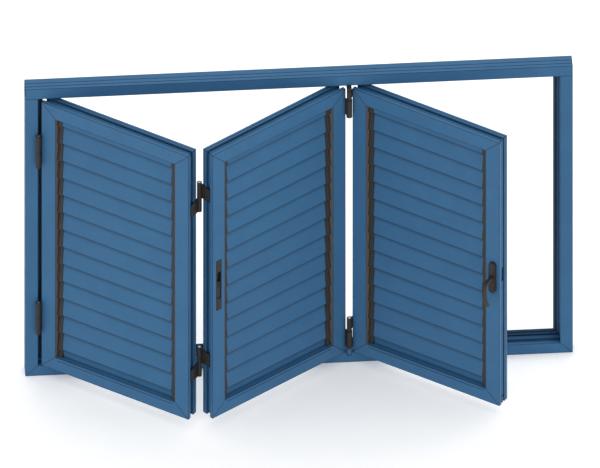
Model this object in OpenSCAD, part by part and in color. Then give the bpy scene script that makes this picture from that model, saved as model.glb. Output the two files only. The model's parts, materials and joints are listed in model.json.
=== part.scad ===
// Three-leaf folding louvred shutter in its outer frame.
// Millimetres, +Z up, -Y is the outside face. The origin is the middle of the sill's underside.
// Each leaf is drawn in its own closed place, then turned about its hinge line to the rest fold.

/* [Outer frame] */
// Overall width of the frame
frame_w = 1650; // [1300:10:2000]
// Overall height of the frame
frame_h = 1100; // [900:10:1400]
// Depth of the frame, front to back
frame_d = 50; // [50:1:60]
// Width of each frame member on its face
face_w = 38; // [38:1:50]
// Wall of the frame extrusions
frame_wall = 2; // [1.6:0.1:2.4]
// How far the rear stop lip stands into the opening
lip_w = 18; // [14:1:22]
// Thickness of the rear stop lip
lip_t = 3.5; // [3:0.5:4]
// Width of the stop seal
seal_w = 5; // [4:0.5:6]
// Radius of the wall fixing holes
fixing_r = 3.5; // [3:0.5:4.5]
// Distance of each wall fixing hole from mid-height
fixing_offset = 400; // [250:10:400]

/* [Track] */
// Width of the track slot in the head and in the sill
slot_w = 10; // [9:0.5:12]
// Depth of the guide channel in the sill
channel_depth = 12; // [10:1:14]
// Radius of the carriage rollers
roller_r = 7; // [6:0.5:8]

/* [Leaves] */
// Fold of each leaf from closed, in degrees
rest_angle = 35; // [0:1:80]
// Thickness of a leaf
leaf_t = 45; // [42:1:45]
// Width of the stiles and rails on their face
stile_w = 48; // [44:1:60]
// Wall of the leaf extrusions
leaf_wall = 2; // [1.6:0.1:2.4]
// Gap between two closed leaves
leaf_gap = 6; // [6:0.5:8]
// Gap between the first leaf and its jamb
left_gap = 3; // [3:0.5:5]
// Gap between the last leaf and its jamb
right_gap = 14; // [14:1:18]
// Gap over the sill
sill_gap = 6; // [6:0.5:9]
// Gap under the head
head_gap = 8; // [8:0.5:12]

/* [Edge groove] */
// Start of the leaf's edge groove behind its front face
groove_front = 12; // [11:1:14]
// Width of the edge groove at its mouth
groove_w = 17; // [15:1:18]
// Depth of the edge groove
groove_depth = 8; // [8:0.5:9]

/* [Louvres] */
// Distance from one louvre to the next
blade_pitch = 66; // [60:1:72]
// Height of one louvre blade
blade_h = 74; // [70:1:80]
// Thickness of a louvre blade
blade_t = 7.5; // [6:0.5:7.5]
// Wall of a louvre blade
blade_wall = 1.2; // [1:0.1:1.5]
// Distance of a blade's lower front edge behind the leaf's face
blade_recess = 11; // [9:1:12]
// How far a blade's top leans back
blade_lean = 9; // [8:0.5:10]
// Width of the toothed blade holders
comb_w = 17; // [14:1:20]
// Thickness of the liner strips beside the holders
liner_t = 1.2; // [1:0.1:1.5]

/* [Hinges] */
// Distance of each hinge line from the leaf's face
pivot_out = 14; // [13:1:16]
// Radius of a hinge pin
pin_r = 4; // [3.5:0.5:4]
// Radial clearance of a hinge pin
pin_fit = 0.05; // [0.03:0.01:0.08]
// Radius of a jamb or fold hinge knuckle
knuckle_r = 7.5; // [7:0.5:8]
// Radius of the wide knuckle of a door hinge
door_knuckle_r = 9; // [8.5:0.5:10]
// Thickness of the hinge plates
plate_t = 2.4; // [2:0.1:2.4]
// Length of a jamb hinge
jamb_hinge_len = 120; // [100:2:140]
// Height of the lower jamb hinge over the sill's underside
jamb_low_z = 172; // [150:1:200]
// Distance of the upper jamb hinge's top below the frame's top
jamb_top_drop = 169; // [150:1:220]
// Length of a fold hinge
fold_hinge_len = 110; // [100:2:140]
// Height of the lower fold hinge over the sill's underside
fold_low_z = 176; // [150:1:200]
// Distance of the upper fold hinge's top below the frame's top
fold_top_drop = 182; // [150:1:220]
// Length of a door hinge
door_hinge_len = 114; // [110:2:140]
// Length of a door hinge's wide lower part
door_wide_len = 66; // [60:1:72]

/* [Handle] */
// Height of the handle over the sill's underside
handle_z = 533; // [450:1:650]
// Distance of the handle from the leaf's free edge
handle_inset = 22; // [22:1:28]
// Width of the handle's rosette
rosette_w = 22; // [22:1:32]
// Height of the handle's rosette
rosette_h = 114; // [100:1:140]
// How far the locking rods travel
rod_travel = 15; // [12:1:17]
// Length of the flush pull's tray
tray_h = 189; // [160:1:200]
// Width of the flush pull's tray
tray_w = 20; // [18:1:22]

/* [Hidden] */
$fn = 48;

blue = [0.25, 0.41, 0.55];
dark = [0.2, 0.19, 0.18];
alloy = [0.62, 0.63, 0.64];
steel = [0.6, 0.6, 0.6];
nylon = [0.75, 0.74, 0.7];

clear = 0.3;
run_fit = 0.4;
eps = 0.5;
x0 = -frame_w / 2;
yf = -frame_d / 2;
lip_front = frame_d - lip_t;
head_z = frame_h - face_w;

seal_set = 8;
seal_groove = 1.5;
seal_proud = 0.9;
line_w = 1.2;
line_depth = 0.8;
line_y = 11;
head_web = 5;
top_lines = [13, 28.5];
sill_step = 1.5;
fixing_y = 36;
cleat_hole_r = 4;
cleat_deep = 8;
cleat_arm = 60;

// Leaves
leaf_w = (frame_w - 2 * face_w - left_gap - right_gap - 2 * leaf_gap) / 3;
leaf_h = frame_h - 2 * face_w - sill_gap - head_gap;
leaf_z = face_w + sill_gap;
leaf_pitch = leaf_w + leaf_gap;
function leaf_x(i) = x0 + face_w + left_gap + (i - 1) * leaf_pitch;
open_w = leaf_w - 2 * stile_w;
open_h = leaf_h - 2 * stile_w;

// Hinge lines, closed: in front of the leaves, behind them, and in front again
side = [0, -1, 1, -1];
function pivot_x(i) = leaf_x(i) - leaf_gap / 2;
function pivot_y(i) = side[i] < 0 ? yf - pivot_out : yf + leaf_t + pivot_out;
// The same hinge lines at the rest fold
link = [leaf_pitch, leaf_t + 2 * pivot_out];
function turned(v, a) = [v[0] * cos(a) - v[1] * sin(a), v[0] * sin(a) + v[1] * cos(a)];
rest_1 = [pivot_x(1), pivot_y(1)];
rest_2 = rest_1 + turned(link, -rest_angle);
rest_3 = rest_2 + turned([link[0], -link[1]], rest_angle);
rest_pivot = [[0, 0], rest_1, rest_2, rest_3];
fold = [0, -rest_angle, rest_angle, -rest_angle];

// Edge groove and what runs in it
undercut = 1.5;
back_line_y = 36;
bead_end = 8;
bead_drop = 10;
liner_front = 1.5;
mouth_depth = 3.5;
groove_mid = groove_front + groove_w / 2;
groove_end = groove_front + groove_w;
slot_mid = groove_mid;
slot_front = slot_mid - slot_w / 2;

// Louvres
blade_margin = 24;
blade_count = floor((open_h - 2 * blade_margin) / blade_pitch);
blade_first = stile_w + (open_h - blade_count * blade_pitch) / 2;
blade_x0 = stile_w + liner_t + comb_w;
blade_x1 = leaf_w - blade_x0;
blade_angle = asin(blade_lean / blade_h);
comb_depth = 36;
comb_step = 8;
comb_nose = 2;
comb_front = blade_recess - comb_nose;
closer_t = 3;
closer_front = 16.5;
closer_foot = 12;

// Hinges
knuckle_gap = 0.5;
jamb_starts = [jamb_low_z, frame_h - jamb_top_drop - jamb_hinge_len];
fold_starts = [fold_low_z, frame_h - fold_top_drop - fold_hinge_len];
door_rise = 23;
door_top_drop = 146;
door_starts = [leaf_z + door_rise, frame_h - door_top_drop];
door_tops = [door_starts[0] + door_hinge_len, leaf_z + leaf_h];
screw_head_r = 3.6;
screw_head_t = 1.6;
screw_r = 1.9;
screw_len = 10;
screw_fit = 0.1;
screw_inset = 11;
plate_drop = 4;
front_screw_y = 5.5;
rear_screw_y = 38;
cap_t = 5.7;
cap_r = 7.2;
cap_floor = 1.5;
half_gap = leaf_gap / 2;
jamb_edge = half_gap - left_gap;
front_reach = pivot_out + groove_front;
front_screw = pivot_out + front_screw_y;
rear_reach = -(pivot_out + leaf_t - groove_front);
rear_screw = -(pivot_out + leaf_t - rear_screw_y);

// Handle, lock and rods
neck_r = 8;
neck_len = 50;
spindle = 7;
spindle_hole_r = 5.3;
rosette_t = 9;
grip_w = 16;
grip_t = 10;
grip_r = 141;
grip_turn = 37;
grip_lift = 8.2;
lever_x = leaf_w - handle_inset;
lever_z = handle_z - leaf_z;
case_h = 130;
case_front = 8;
case_t = 26;
case_w = 30;
case_wall = 2;
rod_slack = 0.4;
rod_u = mouth_depth + rod_slack;
rod_t = groove_depth - mouth_depth - 2 * rod_slack;
rod_w = groove_w + 2 * undercut - 2 * 0.5;
bolt_r = 3.4;
bolt_len = 23;
bolt_back = 1;
peg_r = 3;
peg_z = 30;
peg_len = 8;
lap = 1;
rod_lap = 2;

// Flush pull
pull_x = 24.4;
pull_z = 545.5;
tray_rim = 0.8;
tray_t = 10;
tray_edge = 1.7;
pocket_w = 14;
tray_floor = 1;
pocket_low = -51;
pocket_high = 50;
slider_h = 62;
slider_t = 7.5;
rib_count = 4;
rib_drop = 8;
rib_pitch = 5;
rib_size = [0.6, 2];

// Carriage and guide
arm_w = 15;
arm_t = 3.4;
arm_drop = 2.2;
head_arm_z = head_z - arm_drop - arm_t;
guide_arm_t = 3;
sill_arm_rise = 1.5;
sill_arm_z = face_w + sill_arm_rise;
boss_r = 6.5;
roller_z = head_z + frame_wall + clear + roller_r;
roller_t = 5;
block_len = 64;
wheelbase = 40;
block_w = 9.4;
block_rise = 1;
block_up = 9;
block_low = head_z + frame_wall + block_rise;
block_h = roller_z + block_up - block_low;
post_r = 3;
axle_r = 2.5;
roller_side = 2;
axle_end = 0.5;
shoe_len = 40;
shoe_drop = 1;
post_foot = 1;
cap_z = head_arm_z + arm_t + clear;
track_x = rest_pivot[3][0];
track_y = yf + slot_mid;

// ---------- placing ----------
module in_frame() {
    translate([x0, yf, 0]) children();
}

// Turns what is drawn in its closed place with leaf i
module folded(i) {
    translate([rest_pivot[i][0], rest_pivot[i][1], 0])
        rotate([0, 0, fold[i]])
            translate([-pivot_x(i), -pivot_y(i), 0])
                children();
}

module on_leaf(i) {
    folded(i) translate([leaf_x(i), yf, leaf_z]) children();
}

// Runs a section of (distance from the edge, depth) upwards
module upright(len) {
    linear_extrude(len) children();
}

// Runs the same section to the right, its edge at the bottom
module lying(len) {
    translate([len, 0, 0]) rotate([0, -90, 0]) linear_extrude(len) children();
}

// A face outline of (x, z) points carried through the depth
module through(depth, points) {
    translate([0, depth + eps, 0]) rotate([90, 0, 0]) linear_extrude(depth + 2 * eps) polygon(points);
}

// Outline of a stile or jamb mitred at both ends, or at its foot alone
function stile_outline(h, m) = [[0, 0], [m, m], [m, h - m], [0, h]];
function jamb_outline(h, m) = [[0, 0], [m, m], [m, h + eps], [0, h + eps]];
function rail_outline(w, m) = [[0, 0], [w, 0], [w - m, m], [m, m]];

// ---------- frame ----------
module box_with_lip() {
    difference() {
        union() {
            square([face_w, frame_d]);
            translate([0, lip_front]) square([face_w + lip_w, lip_t]);
        }
        translate([face_w + seal_set, lip_front - eps]) square([seal_w, seal_groove + eps]);
        translate([face_w - line_depth, line_y]) square([line_depth + eps, line_w]);
    }
}

module jamb_section() {
    difference() {
        box_with_lip();
        translate([frame_wall, frame_wall]) square([face_w - 2 * frame_wall, frame_d / 2 - 1.5 * frame_wall]);
        translate([frame_wall, frame_d / 2 + frame_wall / 2])
            square([face_w - 2 * frame_wall, frame_d / 2 - 1.5 * frame_wall]);
    }
}

module head_section() {
    difference() {
        box_with_lip();
        translate([frame_wall, frame_wall]) square([head_web - frame_wall, frame_d - 2 * frame_wall]);
        translate([head_web + frame_wall, frame_wall])
            square([face_w - head_web - 2 * frame_wall, frame_d - 2 * frame_wall]);
        translate([face_w - frame_wall - eps, slot_front]) square([frame_wall + 2 * eps, slot_w]);
        for (y = top_lines) translate([-eps, y]) square([line_depth + eps, line_w]);
    }
}

module sill_section() {
    channel_u = face_w - channel_depth;
    step_y = slot_front + slot_w + frame_wall;
    difference() {
        box_with_lip();
        translate([frame_wall, frame_wall]) square([channel_u - 2 * frame_wall, frame_d - 2 * frame_wall]);
        translate([frame_wall, frame_wall])
            square([face_w - 2 * frame_wall, slot_front - 2 * frame_wall]);
        translate([frame_wall, step_y])
            square([face_w - 2 * frame_wall - sill_step, frame_d - frame_wall - step_y]);
        translate([channel_u, slot_front]) square([channel_depth + eps, slot_w]);
        translate([face_w - sill_step, step_y]) square([sill_step + eps, lip_front - step_y - frame_wall]);
    }
}

module head_rail() {
    color(blue) in_frame()
        difference() {
            translate([0, 0, frame_h]) mirror([0, 0, 1]) lying(frame_w) head_section();
            // the lip stands between the jambs
            for (x = [-eps, frame_w - face_w])
                translate([x, lip_front - eps, head_z - lip_w - eps])
                    cube([face_w + eps, lip_t + 2 * eps, lip_w + eps]);
        }
}

module sill_rail() {
    color(blue) in_frame()
        intersection() {
            lying(frame_w) sill_section();
            through(frame_d, rail_outline(frame_w, face_w + lip_w));
        }
}

module jamb() {
    difference() {
        intersection() {
            upright(head_z) jamb_section();
            through(frame_d, jamb_outline(head_z, face_w + lip_w));
        }
        // the head's lip takes over here
        translate([face_w, lip_front - eps, head_z - lip_w])
            cube([lip_w + eps, lip_t + 2 * eps, lip_w + eps]);
        for (s = [-1, 1])
            translate([-eps, fixing_y, frame_h / 2 + s * fixing_offset])
                rotate([0, 90, 0]) cylinder(h = face_w + 2 * eps, r = fixing_r);
    }
}

module left_jamb() {
    color(blue) in_frame()
        difference() {
            jamb();
            for (z = frame_screw_z())
                translate([face_w + eps, front_screw_y, z])
                    rotate([0, -90, 0]) cylinder(h = frame_wall + 2 * eps, r = screw_r + screw_fit);
        }
}

module right_jamb() {
    color(blue) mirror([1, 0, 0]) in_frame() jamb();
}

module frame_seals() {
    u0 = face_w + seal_set;
    strip_w = seal_w - clear;
    strip_t = seal_groove + seal_proud;
    y = lip_front - seal_proud;
    color([0.16, 0.16, 0.17]) in_frame() {
        for (x = [u0, frame_w - u0 - strip_w])
            translate([x, y, u0 + seal_w])
                cube([strip_w, strip_t - clear, head_z - lip_w - u0 - seal_w]);
        translate([u0, y, u0]) cube([frame_w - 2 * u0, strip_t - clear, strip_w]);
        translate([face_w + clear, y, frame_h - u0 - strip_w])
            cube([frame_w - 2 * face_w - 2 * clear, strip_t - clear, strip_w]);
    }
}

// An L-shaped cleat in the corner of two hollow members, as two arms
module cleat(edge, wide, y, deep, arm) {
    difference() {
        translate([edge, y, edge]) union() {
            cube([wide, deep, arm]);
            cube([arm, deep, wide]);
        }
        for (p = [[edge + wide / 2, arm], [arm, edge + wide / 2]])
            translate([p[0], y - eps, p[1]])
                rotate([-90, 0, 0]) cylinder(h = deep + 2 * eps, r = cleat_hole_r);
    }
}

module sill_cleats() {
    channel_u = face_w - channel_depth - frame_wall;
    wide = channel_u - frame_wall - 2 * clear;
    color(alloy) in_frame()
        for (m = [0, 1])
            translate([m * frame_w, 0, 0]) mirror([m, 0, 0])
                cleat(frame_wall + clear, wide, frame_wall + clear, cleat_deep, cleat_arm);
}

// ---------- leaves ----------
module leaf_section() {
    back_y = groove_end + undercut + leaf_wall;
    difference() {
        square([stile_w, leaf_t]);
        translate([-eps, groove_front]) square([mouth_depth + eps, groove_w]);
        translate([mouth_depth, groove_front - undercut])
            square([groove_depth - mouth_depth, groove_w + 2 * undercut]);
        translate([-eps, back_line_y]) square([line_depth + eps, line_w]);
        // one chamber that goes round the groove
        translate([leaf_wall, leaf_wall])
            square([stile_w - 2 * leaf_wall, groove_front - undercut - 2 * leaf_wall]);
        translate([groove_depth + leaf_wall, leaf_wall])
            square([stile_w - groove_depth - 2 * leaf_wall, leaf_t - 2 * leaf_wall]);
        translate([leaf_wall, back_y]) square([stile_w - 2 * leaf_wall, leaf_t - leaf_wall - back_y]);
    }
}

module stile() {
    intersection() {
        upright(leaf_h) leaf_section();
        through(leaf_t, stile_outline(leaf_h, stile_w));
    }
}

module rail() {
    intersection() {
        lying(leaf_w) leaf_section();
        through(leaf_t, rail_outline(leaf_w, stile_w));
    }
}

// Screw holes through a stile's edge wall, for the hinge plates
module edge_holes(heights, y) {
    for (z = heights)
        translate([-eps, y, z - leaf_z])
            rotate([0, 90, 0]) cylinder(h = leaf_wall + 2 * eps, r = screw_r + screw_fit);
}

module right_side() {
    translate([leaf_w, 0, 0]) mirror([1, 0, 0]) children();
}

module left_stile(i) {
    color(blue) on_leaf(i)
        difference() {
            stile();
            if (i == 1) edge_holes(jamb_leaf_screw_z(), front_screw_y);
            if (i == 2) edge_holes(fold_upper_screw_z(), rear_screw_y);
            if (i == 3) edge_holes(door_narrow_screw_z(), front_screw_y);
            if (i == 2)
                translate([pull_x - tray_w / 2 + tray_edge, -eps, pull_z - leaf_z - tray_h / 2 + tray_edge])
                    cube([tray_w - 2 * tray_edge, leaf_wall + 2 * eps, tray_h - 2 * tray_edge]);
        }
}

module right_stile(i) {
    color(blue) on_leaf(i)
        difference() {
            right_side() difference() {
                stile();
                if (i == 1) edge_holes(fold_lower_screw_z(), rear_screw_y);
                if (i == 2) edge_holes(door_wide_screw_z(), front_screw_y);
            }
            if (i == 3) {
                translate([lever_x, -eps, lever_z])
                    rotate([-90, 0, 0]) cylinder(h = leaf_wall + 2 * eps, r = spindle_hole_r);
                for (s = [-1, 1]) peg_slot(s);
            }
        }
}

// Slot in the groove's floor and the lock case for a rod's peg: s is 1 for the upper rod
module peg_slot(s) {
    half_slot = rod_travel / 2 + peg_r + clear;
    slot_end = rod_u + rod_t + peg_len + eps;
    slot_z = lever_z + s * (peg_z + rod_travel / 2) - half_slot;
    translate([leaf_w - slot_end, groove_mid - peg_r - clear, slot_z])
        cube([slot_end - groove_depth + eps, 2 * (peg_r + clear), 2 * half_slot]);
}

module top_rail(i) {
    color(blue) on_leaf(i)
        translate([0, 0, leaf_h]) mirror([0, 0, 1]) rail();
}

module bottom_rail(i) {
    color(blue) on_leaf(i)
        difference() {
            rail();
            // bead line under the louvres
            translate([stile_w + bead_end, -eps, stile_w - bead_drop])
                cube([open_w - 2 * bead_end, line_depth + eps, line_w]);
        }
}

// Section of a blade as (depth, height) from its lower front corner
module blade_section(grow) {
    r = blade_t / 2 - grow;
    translate([blade_recess + blade_t / 2, blade_t / 2])
        rotate(-blade_angle) {
            circle(r);
            translate([-r, 0]) square([2 * r, blade_h - blade_t]);
            translate([0, blade_h - blade_t]) circle(r);
        }
}

// Carries a (depth, height) section across the leaf
module across(from, to) {
    translate([from, 0, 0])
        rotate([90, 0, 90]) linear_extrude(to - from) children();
}

module blades(i) {
    color(blue) on_leaf(i)
        for (k = [0 : blade_count - 1])
            translate([0, 0, blade_first + k * blade_pitch])
                across(blade_x0, blade_x1)
                    difference() {
                        blade_section(0);
                        blade_section(blade_wall);
                    }
}

// Toothed edge of a holder: one tooth for each blade
function comb_points() = concat(
    [[comb_depth, stile_w], [comb_front, stile_w]],
    [for (k = [0 : blade_count]) each [
        [comb_front + comb_step, blade_first + k * blade_pitch - comb_nose],
        [comb_front, blade_first + k * blade_pitch]]],
    [[comb_front + comb_step / 2, stile_w + open_h], [comb_depth, stile_w + open_h]]);

module blade_holders(i) {
    color([0.17, 0.16, 0.15]) on_leaf(i)
        for (x = [stile_w + liner_t, blade_x1])
            across(x, x + comb_w) polygon(comb_points());
}

module liners(i) {
    color([0.38, 0.36, 0.35]) on_leaf(i)
        for (x = [stile_w, leaf_w - stile_w - liner_t])
            translate([x, liner_front, stile_w]) cube([liner_t, comb_depth - liner_front, open_h]);
}

module closers(i) {
    top_z = blade_first + blade_count * blade_pitch;
    color(blue) on_leaf(i) {
        across(blade_x0, blade_x1)
            difference() {
                intersection() {
                    translate([0, top_z]) blade_section(0);
                    translate([0, top_z - eps]) square([leaf_t, stile_w + open_h - top_z + eps]);
                }
                translate([0, top_z]) blade_section(blade_wall);
            }
        across(blade_x0, blade_x1) {
            translate([closer_front, stile_w]) square([closer_t, blade_first - stile_w - clear]);
            translate([closer_front, stile_w]) square([closer_foot, closer_t]);
        }
    }
}

module leaf_cleats(i) {
    edge = groove_depth + leaf_wall + clear;
    wide = stile_w - groove_depth - 2 * leaf_wall - 2 * clear;
    color(alloy) on_leaf(i)
        for (m = [0, 1], n = [0, 1])
            translate([m * leaf_w, 0, n * leaf_h]) mirror([m, 0, 0]) mirror([0, 0, n])
                cleat(edge, wide, leaf_wall + clear, cleat_deep, cleat_arm + groove_depth);
}

// ---------- hinges ----------
// Screw heights on a plate between z0 and z1
function plate_screws(z0, z1) = [z0 + screw_inset, z1 - screw_inset];
function lower_screws(starts, len) = [for (z = starts) each plate_screws(z, z + len - knuckle_gap)];
function upper_screws(starts, len) = [for (z = starts) each plate_screws(z + len, z + 2 * len)];
function frame_screw_z() = lower_screws(jamb_starts, jamb_hinge_len / 2);
function jamb_leaf_screw_z() = upper_screws(jamb_starts, jamb_hinge_len / 2);
function fold_lower_screw_z() = lower_screws(fold_starts, fold_hinge_len / 2);
function fold_upper_screw_z() = upper_screws(fold_starts, fold_hinge_len / 2);
function door_wide_screw_z() = lower_screws(door_starts, door_wide_len);
function door_narrow_screw_z() = [for (k = [0, 1])
    each plate_screws(door_starts[k] + door_wide_len, door_tops[k])];

// A hinge half about its own axis. The leaf or jamb face it is screwed to lies at x = edge, on
// the side s, and the plate reaches along y; its screws are at screw_y
module hinge_half(z0, z1, r, edge, s, reach, screw_y) {
    plate_x = s > 0 ? edge - plate_t : edge;
    near = reach / 3;
    difference() {
        union() {
            translate([0, 0, z0]) cylinder(h = z1 - z0, r = r);
            across(plate_x, plate_x + plate_t)
                polygon([[0, z0], [near, z0], [near * 2, z0 + plate_drop], [reach, z0 + plate_drop],
                         [reach, z1 - plate_drop], [near * 2, z1 - plate_drop], [near, z1], [0, z1]]);
        }
        translate([0, 0, z0 - eps]) cylinder(h = z1 - z0 + 2 * eps, r = pin_r + pin_fit);
        for (z = plate_screws(z0, z1))
            translate([edge, screw_y, z]) rotate([0, -90 * s, 0]) screw_hole();
    }
}

// Countersunk hole through a plate, from the face it lies on outwards
module screw_hole() {
    translate([0, 0, -eps]) cylinder(h = plate_t + 2 * eps, r = screw_r + screw_fit);
    translate([0, 0, plate_t - screw_head_t])
        cylinder(h = screw_head_t + 0.01, r1 = screw_r + screw_fit, r2 = screw_head_r + screw_fit);
}

module screw() {
    translate([0, 0, plate_t - screw_len]) cylinder(h = screw_len - screw_head_t, r = screw_r);
    translate([0, 0, plate_t - screw_head_t]) cylinder(h = screw_head_t, r1 = screw_r, r2 = screw_head_r);
}

// Draws what stands about hinge line p, and turns it with leaf i
module at_hinge(p, i) {
    folded(i) translate([pivot_x(p), pivot_y(p), 0]) children();
}

module at_jamb() {
    translate([pivot_x(1), pivot_y(1), 0]) children();
}

// The lower halves of two hinges of half length len, with an r knuckle
module lower_halves(starts, len, r, edge, reach, screw_y) {
    for (z = starts) hinge_half(z, z + len - knuckle_gap, r, edge, -1, reach, screw_y);
}

module jamb_hinge_frame_halves() {
    color(dark) at_jamb()
        lower_halves(jamb_starts, jamb_hinge_len / 2, knuckle_r, jamb_edge, front_reach, front_screw);
}

module jamb_hinge_leaf_halves() {
    color(dark) at_hinge(1, 1)
        for (z = jamb_starts)
            hinge_half(z + jamb_hinge_len / 2, z + jamb_hinge_len, knuckle_r, half_gap, 1,
                       front_reach, front_screw);
}

// A pin whose ends are flush with its knuckles
module hinge_pin(z0, z1) {
    translate([0, 0, z0]) cylinder(h = z1 - z0, r = pin_r);
}

module jamb_hinge_pins() {
    color(steel) at_jamb()
        for (z = jamb_starts) hinge_pin(z, z + jamb_hinge_len);
}

module fold_hinge_lower_halves() {
    color(dark) at_hinge(2, 1)
        lower_halves(fold_starts, fold_hinge_len / 2, knuckle_r, -half_gap, rear_reach, rear_screw);
}

module fold_hinge_upper_halves() {
    color(dark) at_hinge(2, 2)
        for (z = fold_starts)
            hinge_half(z + fold_hinge_len / 2, z + fold_hinge_len, knuckle_r, half_gap, 1,
                       rear_reach, rear_screw);
}

module fold_hinge_pins() {
    color(steel) at_hinge(2, 1)
        for (z = fold_starts) hinge_pin(z, z + fold_hinge_len);
}

module door_hinge_wide_halves() {
    color(dark) at_hinge(3, 2)
        lower_halves(door_starts, door_wide_len, door_knuckle_r, -half_gap, front_reach, front_screw);
}

module door_hinge_narrow_halves() {
    color(dark) at_hinge(3, 3)
        for (k = [0, 1])
            hinge_half(door_starts[k] + door_wide_len, door_tops[k], knuckle_r, half_gap, 1,
                       front_reach, front_screw);
}

// The lower pin goes on down through the guide arm's boss, the upper one up into the cap nut
module door_hinge_pins() {
    color(steel) at_hinge(3, 2) {
        hinge_pin(sill_arm_z, door_tops[0]);
        hinge_pin(door_starts[1], cap_z + cap_t - cap_floor);
    }
}

// The dark nut that hangs the leaves on the carriage arm
module carriage_cap_nut() {
    color(dark) at_hinge(3, 2) translate([0, 0, cap_z])
        difference() {
            cylinder(h = cap_t, r = cap_r);
            translate([0, 0, -eps]) cylinder(h = cap_t - cap_floor + eps, r = pin_r + pin_fit);
        }
}

// Screws at the given heights, into a face at x = edge on the side s
module screws(heights, edge, s, y) {
    for (z = heights) translate([edge, y, z]) rotate([0, -90 * s, 0]) screw();
}

module frame_screws() {
    color(dark) at_jamb() screws(frame_screw_z(), jamb_edge, -1, front_screw);
}

module leaf_1_screws() {
    color(dark) {
        at_hinge(1, 1) screws(jamb_leaf_screw_z(), half_gap, 1, front_screw);
        at_hinge(2, 1) screws(fold_lower_screw_z(), -half_gap, -1, rear_screw);
    }
}

module leaf_2_screws() {
    color(dark) {
        at_hinge(2, 2) screws(fold_upper_screw_z(), half_gap, 1, rear_screw);
        at_hinge(3, 2) screws(door_wide_screw_z(), -half_gap, -1, front_screw);
    }
}

module leaf_3_screws() {
    color(dark)
        at_hinge(3, 3) screws(door_narrow_screw_z(), half_gap, 1, front_screw);
}

// ---------- flush pull ----------
module flush_pull_tray() {
    color(dark) on_leaf(2) translate([pull_x, 0, pull_z - leaf_z])
        difference() {
            union() {
                translate([-tray_w / 2, -tray_rim, -tray_h / 2]) cube([tray_w, tray_rim, tray_h]);
                inner_w = tray_w - 2 * tray_edge - 2 * clear;
                inner_h = tray_h - 2 * tray_edge - 2 * clear;
                translate([-inner_w / 2, -eps, -inner_h / 2]) cube([inner_w, tray_t + eps, inner_h]);
            }
            translate([-pocket_w / 2, -tray_rim - eps, pocket_low])
                cube([pocket_w, tray_t - tray_floor + tray_rim + eps, pocket_high - pocket_low]);
        }
}

module flush_pull_slider() {
    w = pocket_w - 2 * run_fit;
    front = tray_t - tray_floor - run_fit - slider_t;
    color(dark) on_leaf(2) translate([pull_x - w / 2, front, pull_z - leaf_z + pocket_low + run_fit]) {
        cube([w, slider_t, slider_h]);
        // finger ribs
        for (k = [0 : rib_count - 1])
            translate([0, -rib_size[0], slider_h - rib_drop - k * rib_pitch])
                cube([w, rib_size[0] + eps, rib_size[1]]);
    }
}

// ---------- handle and lock ----------
module at_handle() {
    on_leaf(3) translate([lever_x, 0, lever_z]) children();
}

module handle_rosette() {
    straight = rosette_h - rosette_w;
    color(dark) at_handle()
        difference() {
            rotate([90, 0, 0]) {
                for (s = [-1, 1])
                    translate([0, s * straight / 2, 0]) cylinder(h = rosette_t, r = rosette_w / 2);
                translate([-rosette_w / 2, -straight / 2, 0]) cube([rosette_w, straight, rosette_t]);
            }
            rotate([90, 0, 0]) translate([0, 0, -eps])
                cylinder(h = rosette_t + 2 * eps, r = neck_r + screw_fit);
        }
}

// The lever: a round neck, a square spindle into the lock, and a bowed grip that hangs from the neck
module handle_lever() {
    color(dark) at_handle() {
        translate([0, -clear, 0]) rotate([90, 0, 0]) cylinder(h = neck_len - clear + grip_t / 2, r = neck_r);
        translate([-spindle / 2, -clear - eps, -spindle / 2])
            cube([spindle, case_front + case_t - lap + clear + eps, spindle]);
        translate([0, grip_r * cos(grip_lift) - neck_len, -grip_r * sin(grip_lift)]) {
            rotate([90, 0, -90]) rotate([0, 0, grip_lift - grip_turn])
                rotate_extrude(angle = grip_turn) translate([grip_r, 0]) grip_section();
            // rounded tip
            rotate([grip_turn - grip_lift, 0, 0]) translate([0, -grip_r, 0]) tip();
        }
    }
}

module grip_section() {
    flat = grip_w - grip_t;
    square([grip_t, flat], center = true);
    for (s = [-1, 1]) translate([0, s * flat / 2]) circle(grip_t / 2);
}

module tip() {
    flat = grip_w - grip_t;
    rotate([0, 90, 0]) cylinder(h = flat, r = grip_t / 2, center = true);
    for (s = [-1, 1]) translate([s * flat / 2, 0, 0]) sphere(r = grip_t / 2);
}

module lock_case() {
    x = leaf_w - groove_depth - leaf_wall - clear - case_w;
    color(alloy) on_leaf(3)
        difference() {
            translate([x, case_front, lever_z - case_h / 2]) cube([case_w, case_t, case_h]);
            translate([x + case_wall, case_front + case_wall, lever_z - case_h / 2 + case_wall])
                cube([case_w - 2 * case_wall, case_t - 2 * case_wall, case_h - 2 * case_wall]);
            translate([lever_x, case_front - eps, lever_z])
                rotate([-90, 0, 0]) cylinder(h = case_t + 2 * eps, r = spindle_hole_r);
            for (s = [-1, 1]) peg_slot(s);
        }
}

// s is 1 for the rod that goes up and -1 for the one that goes down
module lock_rod(s) {
    start = lever_z + s * (peg_z - peg_r - rod_lap);
    stop = s > 0 ? leaf_h - bolt_back - bolt_len : bolt_back + bolt_len;
    bolt_low = s > 0 ? stop - lap : bolt_back;
    color(blue) on_leaf(3) {
        translate([leaf_w - rod_u - rod_t, groove_mid - rod_w / 2, min(start, stop)])
            cube([rod_t, rod_w, abs(stop - start)]);
        translate([leaf_w - groove_depth / 2, groove_mid, bolt_low]) cylinder(h = bolt_len + lap, r = bolt_r);
        translate([leaf_w - rod_u - rod_t - peg_len, groove_mid, lever_z + s * peg_z])
            rotate([0, 90, 0]) cylinder(h = peg_len + lap, r = peg_r);
    }
}

module lock_rod_upper() {
    lock_rod(1);
}

module lock_rod_lower() {
    lock_rod(-1);
}

// ---------- carriage and guide ----------
module at_track() {
    translate([track_x, rest_pivot[3][1], 0]) children();
}

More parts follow.
